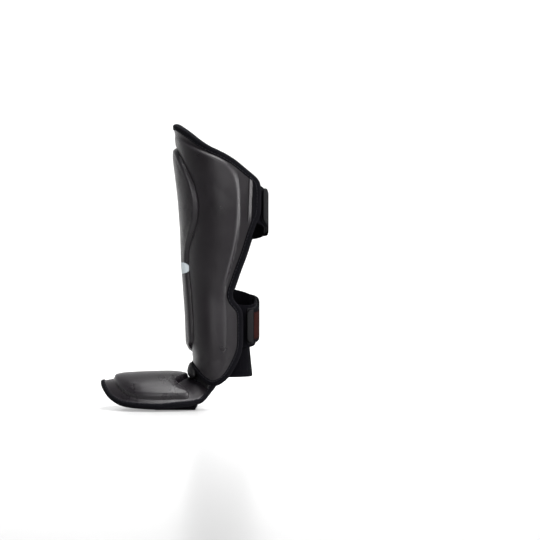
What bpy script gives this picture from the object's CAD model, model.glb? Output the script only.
"""Looks of the left-leg shin and instep guard: leather cover, pads, edge tape, lining, straps and webs.

Shapes are worked out in millimetres in the row frame (+Z up, toe towards -X, outer side towards -Y)
and become metres when a mesh is made. The two padded halves share the CAD model's base surfaces.
"""
import math

import bpy
import numpy as np
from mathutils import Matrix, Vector


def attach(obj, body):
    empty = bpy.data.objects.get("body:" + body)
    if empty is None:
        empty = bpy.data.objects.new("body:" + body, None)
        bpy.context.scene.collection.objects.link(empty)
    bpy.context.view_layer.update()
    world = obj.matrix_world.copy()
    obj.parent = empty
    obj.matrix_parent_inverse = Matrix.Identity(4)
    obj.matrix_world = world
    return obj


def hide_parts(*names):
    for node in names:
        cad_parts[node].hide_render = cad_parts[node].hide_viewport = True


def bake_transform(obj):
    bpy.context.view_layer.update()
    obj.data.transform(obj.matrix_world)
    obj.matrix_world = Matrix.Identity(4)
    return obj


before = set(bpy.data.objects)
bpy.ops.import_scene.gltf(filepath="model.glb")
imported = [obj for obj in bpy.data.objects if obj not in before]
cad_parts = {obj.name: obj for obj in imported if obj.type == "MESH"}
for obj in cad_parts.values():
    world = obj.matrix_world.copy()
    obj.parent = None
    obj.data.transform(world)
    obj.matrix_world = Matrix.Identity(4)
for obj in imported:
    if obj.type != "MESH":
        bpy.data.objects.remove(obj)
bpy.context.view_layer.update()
MM = 0.001

# ---------------------------------------------------------------- shared dimensions (mm)
# The shin's inner face: height, front x, half width, distance from the front to the widest place.
SHIN_STATIONS = [
    (20, 19.0, 44.0, 37.0), (60, 17.2, 43.5, 38.0), (90, 21.0, 41.5, 37.0), (130, 20.3, 39.5, 38.0),
    (170, 18.0, 39.0, 40.0), (210, 15.2, 45.0, 44.0), (250, 13.8, 52.0, 48.0), (300, 8.0, 57.0, 52.0),
    (350, -1.5, 59.0, 56.0), (380, -6.0, 60.0, 58.0), (415, -11.0, 60.0, 60.0),
]
REAR_STRETCH = 2.1      # behind the widest place the section is this many times longer
# The side pads as (z, height over the flange).
PAD_STATIONS = [(20, 1.0), (60, 2.5), (90, 8.2), (130, 8.6), (206, 8.5), (250, 7.0), (300, 4.8),
                (360, 1.5), (415, 0.6)]
# Half the front ridge's outline as (z, y), and the ridge as (z, rise over the leather around it).
RIDGE_OUTLINE = [(368, 0), (366, 15), (359, 27), (348, 37), (334, 45), (313, 50.5), (290, 52), (265, 47.5),
                 (245, 38), (226, 28), (206, 24), (170, 24), (130, 25.5), (104, 26.5), (94, 25), (86, 18),
                 (82, 9), (81, 0)]
RIDGE_RISE = [(80, 4.6), (220, 5.3), (250, 6.3), (300, 6.6), (360, 6.0), (370, 5.5)]
# The shin's outline from the side, as (x, z).
SHIN_OUTLINE = [
    (-30, 404.5), (-20, 404.0), (-10.7, 401.5), (9.4, 387.6), (24.8, 375.8), (38.6, 367.0), (49.7, 361.8),
    (61, 356.0), (74.3, 347.5), (87, 337.0), (98.5, 327.5), (104.5, 321.5), (107.8, 313), (108.3, 295),
    (108.0, 278), (105.5, 268.5), (101.5, 260), (94.4, 239), (87.5, 217), (79.7, 196), (72.6, 175),
    (69.2, 164), (70.3, 154.5), (76.5, 147), (81.6, 139.5), (83.2, 129), (83.4, 110), (83.0, 92),
    (80.4, 79), (74, 64), (64.8, 48.5), (54.6, 38.8), (44.8, 34.6), (36.3, 36.2), (28, 42.0), (20, 51.2),
    (12.5, 59.4), (4, 64.5), (-8, 67),
]
# The rolled edge of the big side pads, from the side, as (x, z).
SIDE_PAD = [(-60, 391), (-20, 390), (1.4, 381.5), (23.8, 365.3), (48.9, 352.6), (63, 343.5), (71.5, 333),
            (76.5, 320), (78.9, 305), (79.2, 288), (78.6, 265), (76.4, 245), (72.0, 222), (66.0, 198),
            (61.0, 176), (59.5, 158), (60.5, 140), (61.0, 115), (60.5, 91), (58.5, 70), (53.5, 56),
            (43.5, 47.0), (33, 53.0), (22, 63), (8, 73), (-60, 75)]
# The instep's inner face as (x, height along its middle) and (x, fall to the sides over y squared).
ARCH_TOP = [(-135, 31.5), (-118, 33.0), (-100, 35.0), (-80, 37.0), (-50, 38.5), (-20, 39.0), (0, 37.6),
            (15, 36.8), (30, 40.5), (50, 49.0)]
ARCH_FALL = [(-135, 0.0185), (-118, 0.0165), (-92, 0.0125), (-60, 0.0099), (-30, 0.0097), (0, 0.0106),
             (17, 0.0135), (29, 0.0200), (38, 0.0250), (50, 0.0275)]
# Half outlines of the instep and of its raised pad from above, as (x, y).
INSTEP_OUTLINE = [(-118.3, 0), (-116.6, 13), (-111, 26), (-103, 37), (-91, 47), (-77, 54), (-58, 59.5),
                  (-38, 61.5), (-15, 59.5), (5, 53.5), (17, 47), (28, 38.5), (38, 29.5),
                  (45, 24.5), (47, 21), (43, 18), (33, 17), (24, 15), (18, 11), (16, 5), (15.5, 0)]
INSTEP_PAD = [(-97, 0), (-94.5, 15), (-87, 29), (-75, 40.5), (-59, 48), (-40, 51), (-20, 50.5), (-4, 48),
              (4, 45), (5, 40.5), (-3, 34.5), (-10.5, 28), (-6, 19), (0, 10), (2.5, 0)]
SHIN_FLANGE = 6.45      # outer face of the leather over the base surface, outside the pads
INSTEP_FLANGE = 6.1     # the same on the instep
INSTEP_RISE = 8.2       # raised instep pad over its flange
# Each strap is a band on a flattened arch behind the leg. slope is its climb along y, lean along x.
CALF = dict(x0=70.0, depth=42.5, half=44.5, y0=-2.5, power=3.5, z=276.5, height=54.0, slope=-0.28,
            lean=0.0)
ANKLE = dict(x0=58.0, depth=41.6, half=34.0, y0=0.0, power=3.2, z=128.5, height=59.0, slope=0.37,
             lean=-0.2)
STRAP_START = 0.93      # a strap's sewn ends on its arch, which runs from -1 to 1
HOOK_OUT = 4.9          # inner face of the closed hook webbing, outside the loop webbing's inner face
WEBBING = 2.0           # thickness
STITCH_LENGTH = 2.9
STITCH_RADIUS = 0.32


# ---------------------------------------------------------------- curves and distances
def table_at(table, at, column=1):
    """Smooth interpolation of one column of a table whose first column rises."""
    keys = np.array([row[0] for row in table], float)
    values = np.array([row[column] for row in table], float)
    slopes = np.empty_like(values)
    slopes[1:-1] = (values[2:] - values[:-2]) / (keys[2:] - keys[:-2])
    slopes[0] = (values[1] - values[0]) / (keys[1] - keys[0])
    slopes[-1] = (values[-1] - values[-2]) / (keys[-1] - keys[-2])
    at = np.clip(at, keys[0], keys[-1])
    i = np.clip(np.searchsorted(keys, at, side="right") - 1, 0, len(keys) - 2)
    span = keys[i + 1] - keys[i]
    t = (at - keys[i]) / span
    return ((2 * t**3 - 3 * t**2 + 1) * values[i] + (t**3 - 2 * t**2 + t) * span * slopes[i]
            + (3 * t**2 - 2 * t**3) * values[i + 1] + (t**3 - t**2) * span * slopes[i + 1])


def smooth_line(points, closed=False, per=8):
    """A finely divided smooth line through the points."""
    pts = np.array(points, float)
    if closed:
        pts = np.vstack([pts[-1], pts, pts[0], pts[1]])
    else:
        pts = np.vstack([2 * pts[0] - pts[1], pts, 2 * pts[-1] - pts[-2]])
    out = []
    for i in range(1, len(pts) - 2):
        a, b, c, d = pts[i - 1:i + 3]
        for t in np.arange(per) / per:
            out.append(0.5 * (2 * b + (c - a) * t + (2 * a - 5 * b + 4 * c - d) * t * t
                              + (3 * b - a - 3 * c + d) * t**3))
    if not closed:
        out.append(pts[-2])
    return np.array(out)


def mirrored(half, flip=False):
    """A closed outline from its half at positive y. flip is for points given as (z, y)."""
    pts = [(y, z) for z, y in half] if flip else list(half)
    back = [(-a, b) if flip else (a, -b) for a, b in reversed(pts[1:-1])]
    return pts + back


def inside_by(outline, x, y):
    """How far points lie inside a closed line; negative outside."""
    px, py = np.ravel(x), np.ravel(y)
    best = np.full(px.shape, 1e9)
    odd = np.zeros(px.shape, bool)
    for (ax, ay), (bx, by) in zip(outline, np.roll(outline, -1, axis=0)):
        dx, dy = bx - ax, by - ay
        length = dx * dx + dy * dy
        if length < 1e-12:
            continue
        t = np.clip(((px - ax) * dx + (py - ay) * dy) / length, 0, 1)
        best = np.minimum(best, (px - ax - t * dx)**2 + (py - ay - t * dy)**2)
        if dy != 0:
            crosses = ((ay > py) != (by > py)) & (px < dx * (py - ay) / dy + ax)
            odd ^= crosses
    return (np.sqrt(best) * np.where(odd, 1, -1)).reshape(np.shape(x))


def ease(low, high, at):
    """Rises smoothly from 0 at low to 1 at high."""
    t = np.clip((at - low) / (high - low), 0, 1)
    return t * t * (3 - 2 * t)


def rolled(depth, width):
    """A rolled pad edge: steep at the seam, then rounding over to full height."""
    t = np.clip(depth / width, 0, 1)
    return (1 - (1 - t)**2.4)**0.75


# ---------------------------------------------------------------- the shin's surface
def shin_base(angle, z):
    """Inner face of the shin. angle is 0 in front, in degrees, and positive towards the inner side."""
    front, half, depth = (table_at(SHIN_STATIONS, z, c) for c in (1, 2, 3))
    turn = np.radians(angle)
    reach = np.where(np.cos(turn) > 0, depth, depth * REAR_STRETCH)
    return np.stack([front + depth - reach * np.cos(turn), half * np.sin(turn), z + 0 * turn], -1)


def shin_normal(angle, z):
    across = shin_base(angle + 0.5, z) - shin_base(angle - 0.5, z)
    up = shin_base(angle, z + 0.5) - shin_base(angle, z - 0.5)
    normal = np.cross(across, up)
    turn = np.radians(angle)
    outward = np.stack([-np.cos(turn), np.sin(turn), 0 * turn], -1)
    sign = np.sign((normal * outward).sum(-1))[..., None]
    return normal * sign / np.linalg.norm(normal, axis=-1)[..., None]


def shin_at(angle, z, distance):
    return shin_base(angle, z) + shin_normal(angle, z) * np.asarray(distance)[..., None]


SHIN_LINE = np.vstack([smooth_line(SHIN_OUTLINE), [(-60, 67), (-60, 404.5)]])
SIDE_PAD_LINE = smooth_line(SIDE_PAD)
RIDGE_LINE = smooth_line(mirrored(RIDGE_OUTLINE, flip=True), closed=True)


def uneven(u, v, size):
    """Slow hand-made waviness: a few crossed ripples, about one unit high in all."""
    total = 0.0
    for along, across, shift, share in ((1.0, 0.31, 0.4, 0.34), (-0.47, 1.17, 2.1, 0.27),
                                        (1.73, 1.39, 4.4, 0.17), (-2.21, 0.83, 1.3, 0.12),
                                        (0.71, -2.9, 5.2, 0.10)):
        total = total + share * np.sin((u * along + v * across) * 2 * math.pi / size + shift)
    return total


def wing_crease(z):
    """x of the fold in each wing beside the calf strap."""
    return 93.4 + 0.035 * (z - 300)


def shin_top(angle, z):
    """Outer face of the leather over the base: flange, then the moulded side pads."""
    base = shin_base(angle, z)
    depth = inside_by(SIDE_PAD_LINE, base[..., 0], base[..., 2])
    side = np.abs(angle)
    pad = table_at(PAD_STATIONS, z) * np.maximum(0.0, 1 - (side / 128.0)**4)
    least = 3.6
    pad = pad + (np.maximum(pad, least) - pad) * ease(14, 42, side)
    width = 5.0 + 15.0 * ease(195, 140, z) - 1.0 * ease(335, 362, z)
    beyond = base[..., 0] - wing_crease(z)
    welt = (2.2 - 0.55 * (beyond + 1.9)) * ease(-3.1, -1.9, beyond) * ease(2.4, 1.5, beyond)
    welt = welt * ease(258, 274, z) * ease(331, 320, z)
    ripple = 0.16 * uneven(base[..., 0] + base[..., 1], z, 46.0) * ease(0, 14, depth + 8)
    groove = 1.1 * np.exp(-((ridge_depth(angle, z) + 1.2) / 1.1)**2)
    soft = 0.65 * ease(200, 150, z)
    step = (1 - soft) * rolled(depth, width) + soft * ease(-1, 24, depth)
    return SHIN_FLANGE + pad * step + welt * ease(0, -4, depth) + ripple - groove


def ridge_depth(angle, z):
    """How far inside the front ridge's edge a point is; negative outside."""
    place = shin_at(angle, z, 12.0)
    return np.where(np.abs(angle) < 90, inside_by(RIDGE_LINE, place[..., 1], place[..., 2]), -99.0)


def ridge_rise(angle, z):
    """Height of the front ridge over the leather, and how far inside its edge a point is."""
    depth = ridge_depth(angle, z)
    step = 0.84 * rolled(depth, 4.6) + 0.16 * ease(2.0, 14.0, depth)
    return table_at(RIDGE_RISE, z) * step, depth


# ---------------------------------------------------------------- the instep's surface
def arch(x, y):
    return table_at(ARCH_TOP, x) - table_at(ARCH_FALL, x) * y * y


def instep_at(x, y, distance):
    slope_x = arch(x + 0.5, y) - arch(x - 0.5, y)
    slope_y = arch(x, y + 0.5) - arch(x, y - 0.5)
    normal = np.stack([-slope_x, -slope_y, np.ones_like(slope_x)], -1)
    normal /= np.linalg.norm(normal, axis=-1)[..., None]
    return np.stack([x, y, arch(x, y)], -1) + normal * np.asarray(distance)[..., None]


INSTEP_LINE = smooth_line(mirrored(INSTEP_OUTLINE), closed=True)
INSTEP_PAD_LINE = smooth_line(mirrored(INSTEP_PAD), closed=True)


# ---------------------------------------------------------------- meshes
def add(name, data):
    obj = bpy.data.objects.new(name, data)
    bpy.context.scene.collection.objects.link(obj)
    return obj


def make(name, points, faces, uvs=None, body=None, replaces=(), slot=None, material=None):
    mesh = bpy.data.meshes.new(name)
    mesh.from_pydata((np.asarray(points) * MM).tolist(), [], [list(map(int, f)) for f in faces])
    mesh.update()
    if uvs is not None:
        layer = mesh.uv_layers.new(name="UVMap")
        index = np.empty(len(mesh.loops), np.int32)
        mesh.loops.foreach_get("vertex_index", index)
        layer.data.foreach_set("uv", (np.asarray(uvs)[index] * MM).astype(np.float32).ravel())
    mesh.polygons.foreach_set("use_smooth", np.ones(len(mesh.polygons), bool))
    obj = add(name, mesh)
    if material:
        mesh.materials.append(material)
    if body:
        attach(obj, body)
    if replaces:
        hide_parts(*replaces)
    return obj


def closed_sheet(name, outer, inner, keep, uv, pinned=None, **rest):
    """A closed solid between two grids of points, over the kept cells."""
    rows, cols = outer.shape[:2]
    index = np.arange(rows * cols).reshape(rows, cols)
    i, j = np.nonzero(keep)
    quads = np.stack([index[i, j], index[i + 1, j], index[i + 1, j + 1], index[i, j + 1]], -1)
    total = rows * cols
    edges = np.concatenate([quads[:, [k, (k + 1) % 4]] for k in range(4)])
    code = edges[:, 0] * total + edges[:, 1]
    back = edges[:, 1] * total + edges[:, 0]
    rim = edges[~np.isin(code, back)]
    walls = np.stack([rim[:, 1], rim[:, 0], rim[:, 0] + total, rim[:, 1] + total], -1)
    faces = np.concatenate([quads, quads[:, ::-1] + total, walls])
    points = np.concatenate([outer.reshape(-1, 3), inner.reshape(-1, 3)])
    uvs = np.concatenate([uv.reshape(-1, 2)] * 2)
    used = np.unique(faces)
    remap = np.zeros(2 * total, int)
    remap[used] = np.arange(len(used))
    a, b, c = (points[quads[0][k]] for k in (0, 1, 2))
    centre = outer.reshape(-1, 3)[quads[0][0]] - inner.reshape(-1, 3)[quads[0][0]]
    faces = remap[faces]
    if np.dot(np.cross(b - a, c - b), centre) < 0:
        faces = faces[:, ::-1]
    obj = make(name, points[used], faces, uvs[used], **rest)
    if pinned is not None:
        held = np.concatenate([pinned.ravel(), np.ones(total, bool)])[used]
        obj.vertex_groups.new(name="seam").add(np.nonzero(held)[0].tolist(), 1.0, "REPLACE")
    return obj


def puffed(obj, cap):
    """Lets the leather over a pad swell like cloth between its seams, by no more than cap (mm)."""
    mesh = obj.data
    start = np.array([v.co for v in mesh.vertices])
    cloth = obj.modifiers.new("Cloth", "CLOTH")
    cloth.settings.use_pressure = True
    cloth.settings.uniform_pressure_force = 4.0
    cloth.settings.vertex_group_mass = "seam"
    cloth.settings.effector_weights.gravity = 0
    cloth.collision_settings.use_collision = False
    frames = 20
    cloth.point_cache.frame_start, cloth.point_cache.frame_end = 1, frames
    scene = bpy.context.scene
    for step in range(1, frames + 1):
        scene.frame_set(step)
    shaped = obj.evaluated_get(bpy.context.evaluated_depsgraph_get()).to_mesh()
    move = np.array([v.co for v in shaped.vertices]) - start
    obj.evaluated_get(bpy.context.evaluated_depsgraph_get()).to_mesh_clear()
    obj.modifiers.remove(cloth)
    scene.frame_set(1)
    far = np.linalg.norm(move, axis=1)
    move *= (cap * MM * np.tanh(far / (cap * MM)) / np.maximum(far, 1e-9))[:, None]
    mesh.vertices.foreach_set("co", (start + move).astype(np.float32).ravel())
    mesh.update()
    obj.vertex_groups.remove(obj.vertex_groups["seam"])
    smooth = obj.modifiers.new("Smooth", "SUBSURF")
    smooth.levels = smooth.render_levels = 1


def sweep(name, rings, closed=False, **rest):
    """A closed solid through rings of points. Open sweeps get flat ends."""
    n, m = rings.shape[:2]
    index = np.arange(n * m).reshape(n, m)
    follow = np.roll(index, -1, axis=0) if closed else index[1:]
    first = index if closed else index[:-1]
    quads = np.stack([first, np.roll(first, -1, 1), np.roll(follow, -1, 1), follow], -1).reshape(-1, 4)
    faces = quads.tolist()
    if not closed:
        faces += [index[0][::-1].tolist(), index[-1].tolist()]
    along = np.concatenate([[0], np.cumsum(np.linalg.norm(np.diff(rings.mean(1), axis=0), axis=1))])
    around = np.concatenate([[0], np.cumsum(np.linalg.norm(np.diff(rings[n // 2], axis=0), axis=1))])
    uv = np.stack(np.broadcast_arrays(along[:, None], around[None, :]), -1).reshape(-1, 2)
    points = rings.reshape(-1, 3)
    volume = 0.0
    for f in quads:
        a, b, c, d = points[f]
        volume += np.dot(a, np.cross(b, c)) + np.dot(a, np.cross(c, d))
    if volume < 0:
        faces = [f[::-1] for f in faces]
    return make(name, points, faces, uv, **rest)


def cell_keep(depth, limit):
    """Cells whose four corners all lie deeper than the limit."""
    ok = depth > limit
    return ok[:-1, :-1] & ok[1:, :-1] & ok[1:, 1:] & ok[:-1, 1:]


# ---------------------------------------------------------------- materials
def shader(name):
    mat = bpy.data.materials.new(name)
    mat.use_nodes = True
    tree = mat.node_tree
    bsdf = next(n for n in tree.nodes if n.type == "BSDF_PRINCIPLED")
    return mat, tree, bsdf


def plug(tree, value, socket):
    """Links a socket to another one, or sets its value."""
    if isinstance(value, bpy.types.NodeSocket):
        tree.links.new(value, socket)
    else:
        socket.default_value = value


def node(tree, kind, inputs=None, **settings):
    made = tree.nodes.new(kind)
    for key, value in settings.items():
        setattr(made, key, value)
    for key, value in (inputs or {}).items():
        plug(tree, value, made.inputs[key])
    return made


def maths(tree, operation, a, b=None):
    made = node(tree, "ShaderNodeMath", operation=operation)
    plug(tree, a, made.inputs[0])
    if b is not None:
        plug(tree, b, made.inputs[1])
    return made.outputs[0]


def spread(tree, value, low, high, to_low=0.0, to_high=1.0):
    """Maps low..high to to_low..to_high and holds it there."""
    return node(tree, "ShaderNodeMapRange", {"Value": value, "From Min": low, "From Max": high,
                                             "To Min": to_low, "To Max": to_high}).outputs[0]


def mix_colour(tree, factor, a, b):
    made = node(tree, "ShaderNodeMix", data_type="RGBA")
    for socket, value in ((made.inputs[0], factor), (made.inputs[6], a), (made.inputs[7], b)):
        plug(tree, value, socket)
    return made.outputs[2]


def shade(colour, factor):
    """A darker or lighter version of a colour, with alpha."""
    return tuple(min(1, c * factor) for c in colour) + (1,)


def set_bump(tree, bsdf, height, strength, distance, normal=None):
    made = node(tree, "ShaderNodeBump", {"Height": height, "Strength": strength, "Distance": distance})
    if normal is not None:
        plug(tree, normal, made.inputs["Normal"])
    tree.links.new(made.outputs[0], bsdf.inputs["Normal"])


def leather(name, base, worn, rough):
    """Semi-gloss coated leather: pebbled grain, soft creases, and a little wear on raised edges."""
    mat, tree, bsdf = shader(name)
    where = node(tree, "ShaderNodeTexCoord").outputs["Object"]
    cells = node(tree, "ShaderNodeTexVoronoi", {"Vector": where, "Scale": 1500.0, "Randomness": 1.0},
                 feature="DISTANCE_TO_EDGE")
    pebble = maths(tree, "SMOOTH_MIN", cells.outputs["Distance"], 0.12)
    fine = node(tree, "ShaderNodeTexNoise", {"Vector": where, "Scale": 2600.0, "Detail": 3.0})
    crease = node(tree, "ShaderNodeTexNoise", {"Vector": where, "Scale": 38.0, "Detail": 3.0,
                                               "Roughness": 0.6, "Distortion": 0.7})
    blotch = node(tree, "ShaderNodeTexNoise", {"Vector": where, "Scale": 17.0, "Detail": 4.0,
                                               "Roughness": 0.62})
    edge = node(tree, "ShaderNodeNewGeometry").outputs["Pointiness"]
    rubbed = maths(tree, "MULTIPLY", spread(tree, edge, 0.505, 0.56), blotch.outputs["Fac"])
    tone = spread(tree, blotch.outputs["Fac"], 0.3, 0.7)
    colour = mix_colour(tree, tone, shade(base, 0.82), shade(base, 1.22))
    colour = mix_colour(tree, rubbed, colour, shade(worn, 1))
    tree.links.new(colour, bsdf.inputs["Base Color"])
    roughness = spread(tree, blotch.outputs["Fac"], 0.25, 0.75, rough - 0.09, rough + 0.10)
    tree.links.new(roughness, bsdf.inputs["Roughness"])
    bsdf.inputs["Specular IOR Level"].default_value = 0.21
    deep = node(tree, "ShaderNodeBump", {"Height": crease.outputs["Fac"], "Strength": 0.20,
                                         "Distance": 0.0009})
    skin = maths(tree, "ADD", maths(tree, "MULTIPLY", pebble, 4.0),
                 maths(tree, "MULTIPLY", fine.outputs["Fac"], 0.25))
    set_bump(tree, bsdf, skin, 0.22, 0.00035, deep.outputs[0])
    return mat


def woven(name, base, pitch_u, pitch_v, sheen, depth=0.0003, strength=0.7, slant=0.0):
    """Woven or knitted tape. The mesh's UVs are in metres: U runs along the tape."""
    mat, tree, bsdf = shader(name)
    uv = node(tree, "ShaderNodeUVMap", uv_map="UVMap").outputs[0]
    parts = node(tree, "ShaderNodeSeparateXYZ", {"Vector": uv})
    u, v = parts.outputs[0], parts.outputs[1]
    lean = maths(tree, "ADD", u, maths(tree, "MULTIPLY", v, slant))
    a = maths(tree, "SINE", maths(tree, "MULTIPLY", lean, 2 * math.pi / pitch_u))
    b = maths(tree, "SINE", maths(tree, "MULTIPLY", v, 2 * math.pi / pitch_v))
    weave = maths(tree, "MULTIPLY", a, b)
    where = node(tree, "ShaderNodeTexCoord").outputs["Object"]
    fuzz = node(tree, "ShaderNodeTexNoise", {"Vector": where, "Scale": 2200.0, "Detail": 3.0})
    dirt = node(tree, "ShaderNodeTexNoise", {"Vector": where, "Scale": 30.0, "Detail": 4.0})
    height = maths(tree, "ADD", weave, maths(tree, "MULTIPLY", fuzz.outputs["Fac"], 0.9))
    colour = mix_colour(tree, spread(tree, height, -0.8, 1.6), shade(base, 0.45), shade(base, 1.5))
    lint = spread(tree, dirt.outputs["Fac"], 0.5, 0.8, 0.0, 0.35)
    colour = mix_colour(tree, lint, colour, shade(base, 2.2))
    tree.links.new(colour, bsdf.inputs["Base Color"])
    bsdf.inputs["Roughness"].default_value = 0.85
    bsdf.inputs["Specular IOR Level"].default_value = 0.02
    bsdf.inputs["Sheen Weight"].default_value = sheen
    bsdf.inputs["Sheen Roughness"].default_value = 0.5
    bsdf.inputs["Sheen Tint"].default_value = (0.3, 0.3, 0.34, 1)
    set_bump(tree, bsdf, height, strength, depth)
    return mat


def brushed(name, base, scale, sheen):
    """Brushed loop or lining cloth: short random fibres."""
    mat, tree, bsdf = shader(name)
    where = node(tree, "ShaderNodeTexCoord").outputs["Object"]
    fibres = node(tree, "ShaderNodeTexNoise", {"Vector": where, "Scale": scale, "Detail": 6.0,
                                               "Roughness": 0.75, "Distortion": 1.6})
    holes = node(tree, "ShaderNodeTexVoronoi", {"Vector": where, "Scale": scale * 0.42})
    tone = spread(tree, fibres.outputs["Fac"], 0.3, 0.7)
    colour = mix_colour(tree, tone, shade(base, 0.6), shade(base, 1.45))
    tree.links.new(colour, bsdf.inputs["Base Color"])
    bsdf.inputs["Roughness"].default_value = 0.92
    bsdf.inputs["Specular IOR Level"].default_value = 0.05
    bsdf.inputs["Sheen Weight"].default_value = sheen
    bsdf.inputs["Sheen Tint"].default_value = (0.3, 0.3, 0.34, 1)
    height = maths(tree, "ADD", fibres.outputs["Fac"], holes.outputs["Distance"])
    set_bump(tree, bsdf, height, 0.6, 0.0005)
    return mat


def plain(name, base, rough, scale, strength=0.2, distance=0.0002):
    """Moulded or printed stuff with a fine speckle."""
    mat, tree, bsdf = shader(name)
    where = node(tree, "ShaderNodeTexCoord").outputs["Object"]
    speck = node(tree, "ShaderNodeTexNoise", {"Vector": where, "Scale": scale, "Detail": 5.0})
    colour = mix_colour(tree, speck.outputs["Fac"], shade(base, 0.85), shade(base, 1.15))
    tree.links.new(colour, bsdf.inputs["Base Color"])
    roughness = spread(tree, speck.outputs["Fac"], 0.0, 1.0, rough - 0.08, rough + 0.08)
    tree.links.new(roughness, bsdf.inputs["Roughness"])
    bsdf.inputs["Specular IOR Level"].default_value = 0.06
    set_bump(tree, bsdf, speck.outputs["Fac"], strength, distance)
    return mat


COVER = leather("cover_leather", (0.0058, 0.0047, 0.0060), (0.045, 0.043, 0.047), rough=0.32)
PAD = leather("pad_leather", (0.0058, 0.0047, 0.0060), (0.045, 0.043, 0.047), rough=0.30)
WEB = leather("web_leather", (0.0024, 0.0023, 0.0028), (0.010, 0.010, 0.011), rough=0.6)
TAPE = woven("edge_tape", (0.0026, 0.0025, 0.0034), 0.0016, 0.0011, sheen=0.02, slant=0.5, strength=0.9)
ELASTIC = woven("elastic", (0.0013, 0.0012, 0.0019), 0.0011, 0.0022, sheen=0.006, depth=0.00035)
LOOP = brushed("loop_tape", (0.003, 0.003, 0.0036), 1400.0, sheen=0.03)
HOOK = plain("hook_tape", (0.006, 0.006, 0.007), 0.45, 1800.0, 1.0, 0.0006)
LINING = brushed("lining_cloth", (0.012, 0.012, 0.0135), 700.0, sheen=0.1)
RUBBER = plain("tab_rubber", (0.0016, 0.0016, 0.0020), 0.62, 900.0)
TAG = woven("tag_maroon", (0.0125, 0.0034, 0.0028), 0.0010, 0.0009, sheen=0.0)
THREAD = plain("thread", (0.016, 0.016, 0.019), 0.55, 2500.0, 0.6, 0.0001)
PRINT = plain("print_grey", (0.40, 0.44, 0.46), 0.5, 1200.0, 0.15, 0.0001)


# ---------------------------------------------------------------- shin shell
def grid(low_u, high_u, step_u, low_v, high_v, step_v):
    us = np.arange(low_u, high_u + step_u / 2, step_u)
    vs = np.arange(low_v, high_v + step_v / 2, step_v)
    return np.meshgrid(us, vs, indexing="ij")


def build_shin():
    sides = np.concatenate([np.arange(0, 100, 1.0), np.arange(100, 113, 0.3), np.arange(113, 131.1, 0.7)])
    turns = np.concatenate([-sides[:0:-1], sides])
    angle, z = np.meshgrid(turns, np.arange(33, 405.1, 1.4), indexing="ij")
    mid = shin_at(angle, z, 4.0)
    depth = inside_by(SHIN_LINE, mid[..., 0], mid[..., 2])
    uv = np.stack([angle, z], -1)
    cover = closed_sheet("shin_cover_leather", shin_at(angle, z, shin_top(angle, z)),
                         shin_at(angle, z, 1.4), cell_keep(depth, 1.5), uv, body="shin",
                         replaces=["shin_cover", "shin_comfort_foam", "shin_impact_foam"],
                         slot="cover_leather", material=COVER)
    angle, z = grid(-132, 132, 2.4, 33, 405, 3.0)
    mid = shin_at(angle, z, 2.0)
    depth = inside_by(SHIN_LINE, mid[..., 0], mid[..., 2])
    lining = closed_sheet("shin_lining_cloth", shin_at(angle, z, 1.2),
                          shin_at(angle, z, 0), cell_keep(depth, 1.5),
                          np.stack([angle, z], -1), body="shin", replaces=["shin_lining"],
                          slot="lining_cloth", material=LINING)
    angle, z = grid(-76, 76, 1.0, 74, 374, 1.25)
    rise, depth = ridge_rise(angle, z)
    top = shin_top(angle, z)
    outer = top + np.where(depth > 0, rise, np.maximum(0.9 * depth, -1.0))
    ridge = closed_sheet("shin_ridge_pad", shin_at(angle, z, outer), shin_at(angle, z, top - 1.2),
                         cell_keep(depth, -1.9), np.stack([angle, z], -1), depth < 1.5, body="shin",
                         replaces=["ridge_cover", "ridge_foam"], slot="pad_leather", material=PAD)
    puffed(ridge, 0.8)


def even_loop(points_of, track, spacing):
    """Resamples a closed track of surface parameters to even steps in space."""
    place = points_of(track[:, 0], track[:, 1])
    leap = np.linalg.norm(np.roll(place, -1, axis=0) - place, axis=1)
    travelled = np.concatenate([[0], np.cumsum(leap)])
    count = int(travelled[-1] / spacing)
    at = np.arange(count) * travelled[-1] / count
    loop = np.vstack([track, track[:1]])
    even = np.stack([np.interp(at, travelled, loop[:, k]) for k in (0, 1)], -1)
    for _ in range(3):
        even = (np.roll(even, 1, 0) + 2 * even + np.roll(even, -1, 0)) / 4
    return even


def inward_steps(points_of, loop, inside):
    """For each loop place, the parameter step that moves 1 mm inwards along the surface."""
    u, v = loop[:, 0], loop[:, 1]
    along_u = points_of(u + 0.25, v) - points_of(u - 0.25, v)
    along_v = points_of(u, v + 0.25) - points_of(u, v - 0.25)
    along_u, along_v = along_u / 0.5, along_v / 0.5
    place = points_of(u, v)
    tangent = np.roll(place, -1, axis=0) - np.roll(place, 1, axis=0)
    tangent /= np.linalg.norm(tangent, axis=1)[:, None]
    normal = np.cross(along_u, along_v)
    normal /= np.linalg.norm(normal, axis=1)[:, None]
    inward = np.cross(normal, tangent)
    steps = []
    for a, b, w in zip(along_u, along_v, inward):
        steps.append(np.linalg.lstsq(np.stack([a, b], -1), w, rcond=None)[0])
    steps = np.array(steps)
    trial = loop + steps * 4
    if np.mean(inside(trial[:, 0], trial[:, 1])) < np.mean(inside(u, v)):
        steps = -steps
    for _ in range(4):
        steps = (np.roll(steps, 1, 0) + 2 * steps + np.roll(steps, -1, 0)) / 4
    return steps


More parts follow.
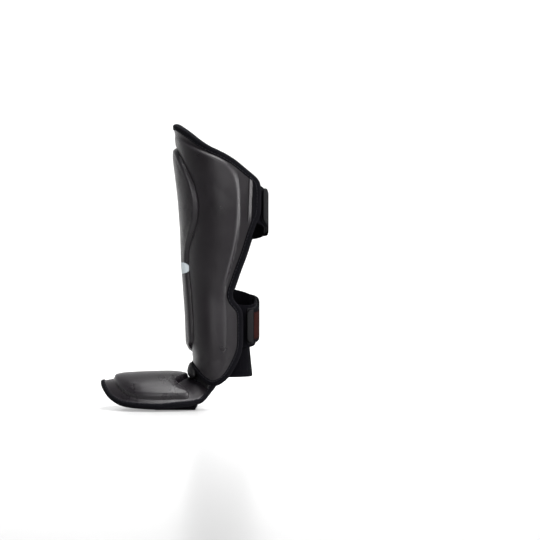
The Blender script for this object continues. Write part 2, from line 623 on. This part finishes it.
# The tape's section: distance in from the edge, share of the sandwich's thickness, extra distance out.
TAPE_SECTION = [(8.9, 1.0, 0.1), (8.3, 1.0, 0.8), (6.5, 1.0, 1.15), (4.0, 1.0, 1.2), (1.8, 1.0, 1.0),
                (0.5, 1.0, 0.2), (-0.2, 0.82, 0.0), (-0.6, 0.5, 0.0), (-0.3, 0.18, 0.0), (0.4, 0.0, -0.4),
                (1.8, 0.0, -1.0), (4.0, 0.0, -1.15), (7.6, 0.0, -1.1), (8.3, 0.0, -0.7), (8.5, 0.0, 0.2),
                (6.0, 0.0, 0.6), (2.0, 0.0, 0.8), (1.6, 0.5, 0.0), (2.0, 1.0, -0.8), (7.0, 1.0, -0.6)]


def edge_tape(name, surface, top_of, inside, loop, scale=0.88, **rest):
    steps = inward_steps(lambda u, v: surface(u, v, 0), loop, inside)
    rings = []
    for e, share, extra in TAPE_SECTION:
        where = loop + steps * e * scale
        top = top_of(where[:, 0], where[:, 1])
        rings.append(surface(where[:, 0], where[:, 1], top * share + extra))
    sweep(name, np.stack(rings, 1), closed=True, material=TAPE, **rest)


def stitch_row(name, places, normals, body):
    """Stitches as small capsules pressed into the surface, one between each pair of places."""
    points, faces = [], []
    for k in range(0, len(places) - 1, 2):
        a, b = places[k], places[k + 1]
        along = b - a
        gap = np.linalg.norm(along)
        if gap < 0.5 or gap > 3 * STITCH_LENGTH:
            continue
        along = along / gap
        out = normals[k]
        across = np.cross(along, out)
        start = len(points)
        middle = (a + b) / 2
        for t, r in ((-0.5, 0.25), (-0.36, 0.85), (0.0, 1.0), (0.36, 0.85), (0.5, 0.25)):
            lift = 0.14 * (1 - (2 * t)**2)
            for q in range(6):
                turn = q * math.pi / 3
                points.append(middle + along * STITCH_LENGTH * t
                              + out * (lift + STITCH_RADIUS * r * math.sin(turn))
                              + across * STITCH_RADIUS * 1.15 * r * math.cos(turn))
        for ring in range(4):
            for q in range(6):
                p = start + ring * 6 + q
                s = start + ring * 6 + (q + 1) % 6
                faces.append([p, s, s + 6, p + 6])
        faces.append([start + q for q in range(5, -1, -1)])
        faces.append([start + 24 + q for q in range(6)])
    return make(name, points, faces, body=body, material=THREAD, slot="edge_tape")


def shin_edge_loop():
    """The shin's edge as (angle, z), down the outer side and back up the inner side."""
    near = []
    for x, z in smooth_line(SHIN_OUTLINE, per=14):
        front, _, depth = (float(table_at(SHIN_STATIONS, z, c)) for c in (1, 2, 3))
        centre = front + depth
        reach = depth + 4.0 if x < centre else depth * REAR_STRETCH + 1.5
        share = (centre - x) / reach
        if share < 1.0:
            near.append((-math.degrees(math.acos(max(-1.0, share))), z))
    near = np.array(near)
    top, foot = near[0].copy(), near[-1].copy()
    top[0] = foot[0] = 0.0
    track = np.vstack([top, near, foot, near[::-1] * (-1, 1)])
    return even_loop(lambda a, z: shin_at(a, z, 4.0), track, 1.9)


def build_shin_edge():
    loop = shin_edge_loop()

    def inside(a, z):
        base = shin_base(a, z)
        return inside_by(SHIN_LINE, base[..., 0], base[..., 2])

    edge_tape("shin_edge_tape", shin_at, shin_top, inside, loop, body="shin",
              replaces=["shin_binding"], slot="edge_tape")
    fine = even_loop(lambda a, z: shin_at(a, z, 4.0), loop, 2.3)
    fine_steps = inward_steps(lambda u, v: shin_at(u, v, 0), fine, inside)
    where = fine + fine_steps * 6.0
    top = shin_top(where[:, 0], where[:, 1])
    stitch_row("shin_edge_stitches", shin_at(where[:, 0], where[:, 1], top + 1.12),
               shin_normal(where[:, 0], where[:, 1]), "shin")
    where = fine + fine_steps * 5.5
    stitch_row("shin_inner_stitches", shin_at(where[:, 0], where[:, 1], -1.12),
               -shin_normal(where[:, 0], where[:, 1]), "shin")


# ---------------------------------------------------------------- instep
def instep_normal(x, y):
    return instep_at(x, y, 1) - instep_at(x, y, 0)


def build_instep():
    x, y = grid(-120, 50, 1.4, -62, 62, 1.2)
    depth = inside_by(INSTEP_LINE, x, y)
    uv = np.stack([x, y], -1)
    swell = 0.9 * ease(-14, -2, inside_by(INSTEP_PAD_LINE, x, y))
    cover = closed_sheet("instep_cover_leather", instep_at(x, y, INSTEP_FLANGE + swell),
                         instep_at(x, y, 1.4), cell_keep(depth, 2.5), uv, body="instep",
                         replaces=["instep_cover", "instep_foam"], slot="cover_leather", material=COVER)
    lining = closed_sheet("instep_lining_cloth", instep_at(x, y, 1.2), instep_at(x, y, 0),
                          cell_keep(depth, 2.5), uv, body="instep", replaces=["instep_lining"],
                          slot="lining_cloth", material=LINING)
    x, y = grid(-100, 8, 1.25, -54, 54, 1.25)
    depth = inside_by(INSTEP_PAD_LINE, x, y) + 2.0
    swell = 0.9 * ease(-12, 0, depth)
    crown = (0.84 * rolled(depth, 4.5) + 0.16 * ease(1.0, 14.0, depth)) * (INSTEP_RISE - 0.9)
    outer = INSTEP_FLANGE + swell + np.where(depth > 0, crown, -0.6)
    pad = closed_sheet("instep_raised_pad", instep_at(x, y, outer), instep_at(x, y, 5.6),
                       cell_keep(depth, -1.9), np.stack([x, y], -1), depth < 1.5, body="instep",
                       replaces=["instep_pad_cover", "instep_pad_foam"], slot="pad_leather", material=PAD)
    puffed(pad, 1.0)


def build_instep_edge():
    track = smooth_line(mirrored(INSTEP_OUTLINE), closed=True, per=10)

    def lifted(x, y):
        return instep_at(x, y, 3.0)

    def inside(x, y):
        return inside_by(INSTEP_LINE, x, y)

    loop = even_loop(lifted, track, 1.8)
    loop = loop + inward_steps(lambda u, v: instep_at(u, v, 0), loop, inside) * 0.4
    edge_tape("instep_edge_tape", instep_at, lambda x, y: INSTEP_FLANGE, inside, loop, scale=0.64,
              body="instep", replaces=["instep_binding"], slot="edge_tape")
    fine = even_loop(lifted, loop, 2.3)
    steps = inward_steps(lambda u, v: instep_at(u, v, 0), fine, inside)
    where = fine + steps * 4.1
    u, v = where[:, 0], where[:, 1]
    stitch_row("instep_edge_stitches", instep_at(u, v, INSTEP_FLANGE + 1.15), instep_normal(u, v), "instep")
    where = fine + steps * 3.8
    u, v = where[:, 0], where[:, 1]
    stitch_row("instep_inner_stitches", instep_at(u, v, -1.12), -instep_normal(u, v), "instep")


# ---------------------------------------------------------------- straps
def strap_arch(strap, side, grow=0.0):
    turn = side * math.pi / 2
    fold = 2.0 / strap["power"]
    x = strap["x0"] + (strap["depth"] + grow) * np.cos(turn)**fold
    y = strap["y0"] + (strap["half"] + grow) * np.sign(side) * np.abs(np.sin(turn))**fold
    return np.stack([x, y], -1)


def band(name, places, outs, heights, lows, thick, rounds=(0.0, 0.0), **rest):
    """A strap with softly rounded long edges. places are its middle line at its inner face."""
    heights, lows = np.broadcast_to(heights, len(places)), np.broadcast_to(lows, len(places))
    rings = []
    steps = np.linalg.norm(np.diff(places, axis=0), axis=1)
    travelled = np.concatenate([[0], np.cumsum(steps)])
    for k, place in enumerate(places):
        half = heights[k] / 2
        for corner, far in zip(rounds, (travelled[k], travelled[-1] - travelled[k])):
            if far < corner:
                t = 1 - far / corner
                half -= corner * (1 - math.sqrt(max(0.0, 1 - t * t)))
        out = outs[k]
        ring = []
        bead = min(1.2, half * 0.2)
        for up, deep in ((-half, 0.5), (-half + 0.25, 0.12), (-half + bead, 0.0), (0.0, 0.0),
                         (half - bead, 0.0), (half - 0.25, 0.12), (half, 0.5), (half - 0.25, 0.88),
                         (half - bead, 1.0), (0.0, 1.0), (-half + bead, 1.0), (-half + 0.25, 0.88)):
            ring.append(place + np.array([0, 0, up]) + out * (lows[k] + thick * deep))
        rings.append(ring)
    return sweep(name, np.array(rings), **rest)


def strap_line(strap, sides, grow=0.0):
    flat = strap_arch(strap, sides, grow)
    ahead = strap_arch(strap, sides + 0.004, grow) - strap_arch(strap, sides - 0.004, grow)
    out = np.stack([ahead[:, 1], -ahead[:, 0], 0 * sides], -1)
    out /= np.linalg.norm(out, axis=1)[:, None]
    rise = strap["slope"] * flat[:, 1] + strap["lean"] * (flat[:, 0] - 86.0)
    return np.column_stack([flat, strap["z"] + rise]), out


def wrap_strap(name, strap, root, loop_end, tab_end, tab_height):
    """Both halves of one strap. root is the fold's place on the arch, loop_end and tab_end the tips'."""
    slit = 2.2 / (0.5 * math.pi * strap["depth"])
    sides = np.linspace(-STRAP_START, loop_end, 70)
    places, outs = strap_line(strap, sides)
    flat = strap["height"] - (strap["height"] - tab_height - 2) * ease(loop_end - 0.30, loop_end, sides)
    band(name + "_loop_webbing", places, outs, flat, 0.0, WEBBING, rounds=(0.0, 11.0), body="shin",
         replaces=[name + "_loop_band"], slot="elastic", material=ELASTIC)
    sides = np.linspace(tab_end + 0.03, loop_end - 0.04, 40)
    places, outs = strap_line(strap, sides)
    band(name + "_loop_pile", places, outs, strap["height"] - 8, WEBBING + 0.05, 1.15, body="shin",
         replaces=[name + "_loop_patch"], slot="loop_tape", material=LOOP)

    sides = np.linspace(tab_end, STRAP_START, 110)
    t = np.clip((root - slit - sides) / (root - slit - loop_end - 0.02), 0, 1)
    lift = HOOK_OUT * t * t * (3 - 2 * t)
    places, outs = strap_line(strap, sides)
    webbing = band(name + "_hook_webbing", places, outs, tab_height, lift, WEBBING, rounds=(7.0, 0.0),
                   slot="elastic", material=ELASTIC,
                   replaces=[name + "_hook_band", name + "_strap_anchor"])
    hinge, _ = strap_line(strap, np.array([root + 0.10, root - 0.10]), 1.0)
    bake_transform(webbing)
    sides = np.linspace(tab_end + 0.04, loop_end - 0.08, 40)
    places, outs = strap_line(strap, sides)
    band(name + "_hook_pile", places, outs, tab_height - 6, HOOK_OUT - 1.15, 1.1, body=name + "_strap",
         replaces=[name + "_hook_patch"], slot="hook_tape", material=HOOK)
    sides = np.linspace(tab_end - 0.01, tab_end + 0.16, 24)
    places, outs = strap_line(strap, sides)
    band(name + "_tab", places, outs, tab_height - 1, HOOK_OUT + WEBBING + 0.02, 1.1, rounds=(7.0, 0.0),
         body=name + "_strap", replaces=[name + "_pull_tab"], slot="tab_rubber", material=RUBBER)


def build_tag():
    """A plain woven tag sewn on the back of the ankle strap."""
    sides = np.linspace(-0.43, -0.17, 30)
    places, outs = strap_line(ANKLE, sides)
    band("ankle_tag", places, outs, 37.0, HOOK_OUT + WEBBING + 0.05, 0.5, body="ankle_strap",
         slot="elastic", material=TAG)


def build_wing_facings():
    """Dark tape facings sewn over the wings beside the calf strap."""
    for name, side in (("outer", -1), ("inner", 1)):
        angle, z = np.meshgrid(side * np.arange(96, 131, 0.5), np.arange(255, 330, 1.0), indexing="ij")
        place = shin_base(angle, z)
        depth = np.minimum(place[..., 0] - wing_crease(z) - 2.3,
                           inside_by(SHIN_LINE, place[..., 0], place[..., 2]) - 2.0)
        depth = np.minimum(depth, np.minimum(z - 258, 326 - z))
        top = shin_top(angle, z)
        lift = 0.75 * np.clip(depth / 1.2, 0, 1)**0.5
        closed_sheet("wing_facing_" + name, shin_at(angle, z, top + lift - 0.02),
                     shin_at(angle, z, top - 0.6), cell_keep(depth, 0.0), np.stack([place[..., 0], z], -1),
                     body="shin", slot="edge_tape", material=TAPE)


def build_heel_strap():
    """The elastic behind the heel, a loop that narrows upwards. section is (z, share of thickness)."""
    low, height, thick = 46.0, 46.0, 1.6
    section = [(46.0, 0.5), (46.3, 0.1), (47.5, 0.0), (58, 0), (69, 0), (80, 0), (90.5, 0.0),
               (91.7, 0.1), (92.0, 0.5), (91.7, 0.9), (90.5, 1.0), (80, 1), (69, 1), (58, 1),
               (47.5, 1.0), (46.3, 0.9)]
    rings = []
    for side in np.linspace(-0.93, 0.93, 70):
        ring = []
        for z, deep in section:
            share = (z - low) / height
            path = dict(x0=50.0, depth=45.0 - 4.5 * share, half=36.0 - 5.0 * share, y0=0.0, power=2.8)
            flat = strap_arch(path, np.array([side]), thick * deep)[0]
            ring.append((flat[0], flat[1], z))
        rings.append(ring)
    sweep("heel_elastic", np.array(rings), body="shin", replaces=["heel_strap"], slot="elastic",
          material=ELASTIC)


def build_sole_strap():
    """The band under the foot: its middle line runs across, so it is swept from side to side."""
    line = smooth_line([(-45.5, 15.0), (-44.0, 11.0), (-42.3, 7.5), (-39.6, 3.2), (-34.5, 0.9), (-20, 0.8),
                        (0, 0.8), (20, 0.8), (34.5, 0.9), (39.6, 3.2), (42.3, 7.5), (44.0, 11.0),
                        (45.5, 15.0)], per=8)
    rings = []
    ahead = np.gradient(line, axis=0)
    ahead /= np.linalg.norm(ahead, axis=1)[:, None]
    for (y, z), (dy, dz) in zip(line, ahead):
        ring = []
        for x, deep in ((-40.0, 0.0), (-39.6, 0.6), (-38.5, 0.8), (-12, 0.8), (15.5, 0.8), (16.6, 0.6),
                        (17.0, 0.0), (16.6, -0.6), (15.5, -0.8), (-12, -0.8), (-38.5, -0.8), (-39.6, -0.6)):
            ring.append((x, y - dz * deep, z + dy * deep))
        rings.append(ring)
    sweep("sole_elastic", np.array(rings), body="instep", replaces=["sole_strap"], slot="elastic",
          material=ELASTIC)


def build_ankle_web():
    """The rolled leather hinge in front, and the web behind it that ties shin and instep together."""
    half, around = 29.0, 36
    rings = []
    for y in np.linspace(-half, half, 90):
        far = abs(y) / half
        full = max(0.12, math.sqrt(max(0.0, 1 - far**7)))
        ring = []
        for q in range(around):
            turn = q * 2 * math.pi / around
            pleat = 0.30 * math.sin(y * 0.62 + 2.0 * math.sin(turn + 0.4)) * math.cos(y * 0.21 + 2 * turn)
            pleat -= 0.5 * math.exp(-((math.cos(turn - 2.5) - 1) * 9)**2)
            across = (6.0 + pleat) * full * (1 - 0.25 * far**3)
            tall = (11.0 - 5.0 * far**2 + pleat) * full * (1 - 0.20 * far**3)
            ring.append((10.2 + 4.6 * far**3 + across * math.cos(turn), y,
                         54.5 - 5.5 * far**2 + tall * math.sin(turn)))
        rings.append(ring)
    sweep("ankle_roll", np.array(rings), body="shin", replaces=["ankle_web"], slot="cover_leather",
          material=WEB)

    reach = 58
    angle, down = np.meshgrid(np.arange(-reach, reach + 0.1, 1.0), np.linspace(0, 1, 33), indexing="ij")
    top_z = np.interp(np.abs(angle), [0, 20, 40, reach], [76, 69, 54.5, 47.0])
    upper = shin_at(angle, top_z, -2.6)
    side = np.sin(np.radians(angle)) / math.sin(math.radians(reach))
    foot_x = 14.0 + 20.0 * np.abs(side)**2.0
    foot_y = 27.0 * side
    lower = instep_at(foot_x, foot_y, 6.4)
    share = down[..., None]
    sheet = upper * (1 - share) + lower * share
    normal = shin_normal(angle, top_z)
    folds = 1.2 * np.sin(down * math.pi) * np.sin(down * 9.0 + 0.02 * angle)
    thick = np.where((down == 0) | (down == 1), 0.5, 0.8)
    web = closed_sheet("ankle_web_leather", sheet + normal * (folds + thick)[..., None],
                       sheet + normal * (folds - thick)[..., None],
                       np.ones((angle.shape[0] - 1, angle.shape[1] - 1), bool),
                       np.stack([angle, down * 30], -1), slot="cover_leather", material=WEB)
    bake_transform(web)


def build_print():
    """A generic pale print on the ridge: one rounded bar with two small chevrons over it."""
    def patch(name, outline, low, high, reach):
        line = smooth_line(outline, closed=True, per=6)
        angle, z = grid(-reach, reach, 0.7, low, high, 0.7)
        place = shin_at(angle, z, 18.0)
        depth = inside_by(line, place[..., 1], place[..., 2])
        rise, _ = ridge_rise(angle, z)
        top = shin_top(angle, z) + rise
        closed_sheet(name, shin_at(angle, z, top + 0.16), shin_at(angle, z, top - 0.2),
                     cell_keep(depth, 0.0), np.stack([angle, z], -1), body="shin", slot="pad_leather",
                     material=PRINT)

    tilt, stroke = 3.0, 3.4
    for k, low in enumerate((298.0, 284.0)):
        for side in (-1, 1):
            patch(f"print_dash_{k}_{'ab'[side > 0]}",
                  [(side * 1.5, low), (side * 11, low + tilt), (side * 11.5, low + tilt + stroke),
                   (side * 1.5, low + stroke)], low - 4, low + 12, 20)
    patch("print_bar", [(-28, 199), (-26, 205), (-20, 207), (0, 207.5), (20, 207), (26, 205), (28, 199),
                        (26, 193), (20, 191), (0, 190.5), (-20, 191), (-26, 193)], 186, 214, 42)


build_shin()
build_shin_edge()
build_instep()
build_instep_edge()
wrap_strap("calf", CALF, 0.36, 0.20, -0.44, 50.0)
wrap_strap("ankle", ANKLE, 0.56, 0.36, -0.62, 48.0)
build_tag()
build_wing_facings()
build_heel_strap()
build_sole_strap()
build_ankle_web()
build_print()


# ---------------------------------------------------------------- stage, lights, camera
def build_stage():
    """A pale round floor that curves up into a backdrop, brightest behind the guard."""
    flat, curve, steps, sides = 1.8, 1.3, 12, 64
    profile = [(0.0, 0.0), (0.6, 0.0), (1.2, 0.0), (flat, 0.0)]
    for k in range(1, steps + 1):
        turn = k / steps * math.pi / 2
        profile.append((flat + curve * math.sin(turn), curve * (1 - math.cos(turn))))
    profile.append((flat + curve, 4.5))
    points, faces = [], []
    for radius, height in profile:
        for k in range(sides):
            turn = k * 2 * math.pi / sides
            points.append((radius * math.cos(turn), radius * math.sin(turn), height))
    for i in range(len(profile) - 1):
        for k in range(sides):
            a, b = i * sides + k, i * sides + (k + 1) % sides
            faces.append([a, b, b + sides, a + sides])
    mesh = bpy.data.meshes.new("floor")
    mesh.from_pydata(points, [], faces)
    mesh.polygons.foreach_set("use_smooth", np.ones(len(faces), bool))
    floor = add("floor", mesh)
    mat, tree, bsdf = shader("floor_pale")
    bsdf.inputs["Roughness"].default_value = 0.28
    bsdf.inputs["Specular IOR Level"].default_value = 0.5
    bsdf.inputs["Emission Color"].default_value = (1, 1, 1, 1)
    where = node(tree, "ShaderNodeTexCoord").outputs["Object"]
    parts = node(tree, "ShaderNodeSeparateXYZ", {"Vector": where})
    glow = spread(tree, parts.outputs[1], -1.6, 2.2, 0.13, 0.58)
    tree.links.new(glow, bsdf.inputs["Emission Strength"])
    tree.links.new(glow, bsdf.inputs["Base Color"])
    mesh.materials.append(mat)


def area_light(name, place, aim, size, power):
    light = bpy.data.lights.new(name, "AREA")
    light.shape = "RECTANGLE"
    light.size, light.size_y = size
    light.energy = power
    obj = add(name, light)
    obj.location = place
    obj.visible_camera = False
    obj.rotation_euler = (Vector(aim) - Vector(place)).to_track_quat("-Z", "Y").to_euler()


def build_lights():
    world = bpy.data.worlds.new("studio")
    bpy.context.scene.world = world
    world.use_nodes = True
    back = world.node_tree.nodes["Background"]
    back.inputs["Color"].default_value = (1.0, 1.0, 1.0, 1)
    back.inputs["Strength"].default_value = 0.04
    area_light("camera_box", (-0.20, -2.5, 1.10), (0, 0, 0.30), (1.0, 0.8), 34)
    area_light("right_box", (1.25, -1.25, 0.66), (0.05, 0, 0.27), (0.35, 0.8), 20)
    area_light("rim_box", (1.3, -0.35, 0.38), (0.05, 0, 0.28), (0.22, 0.9), 27)
    area_light("fill_box", (-0.12, -1.25, 0.60), (0.05, 0, 0.33), (0.4, 0.3), 3)
    area_light("top_box", (0.30, 0.0, 1.45), (0, 0, 0.16), (1.1, 0.9), 76)


def build_camera():
    camera = bpy.data.cameras.new("camera")
    obj = add("camera", camera)
    distance, width = 2.3, 0.7668
    camera.sensor_width = 36.0
    camera.lens = 36.0 * distance / width
    obj.location = (0.1214, -distance, 0.196)
    obj.rotation_euler = (math.pi / 2, 0, 0)
    bpy.context.scene.camera = obj


build_stage()
build_lights()
build_camera()
bpy.context.scene.view_settings.view_transform = "Standard"
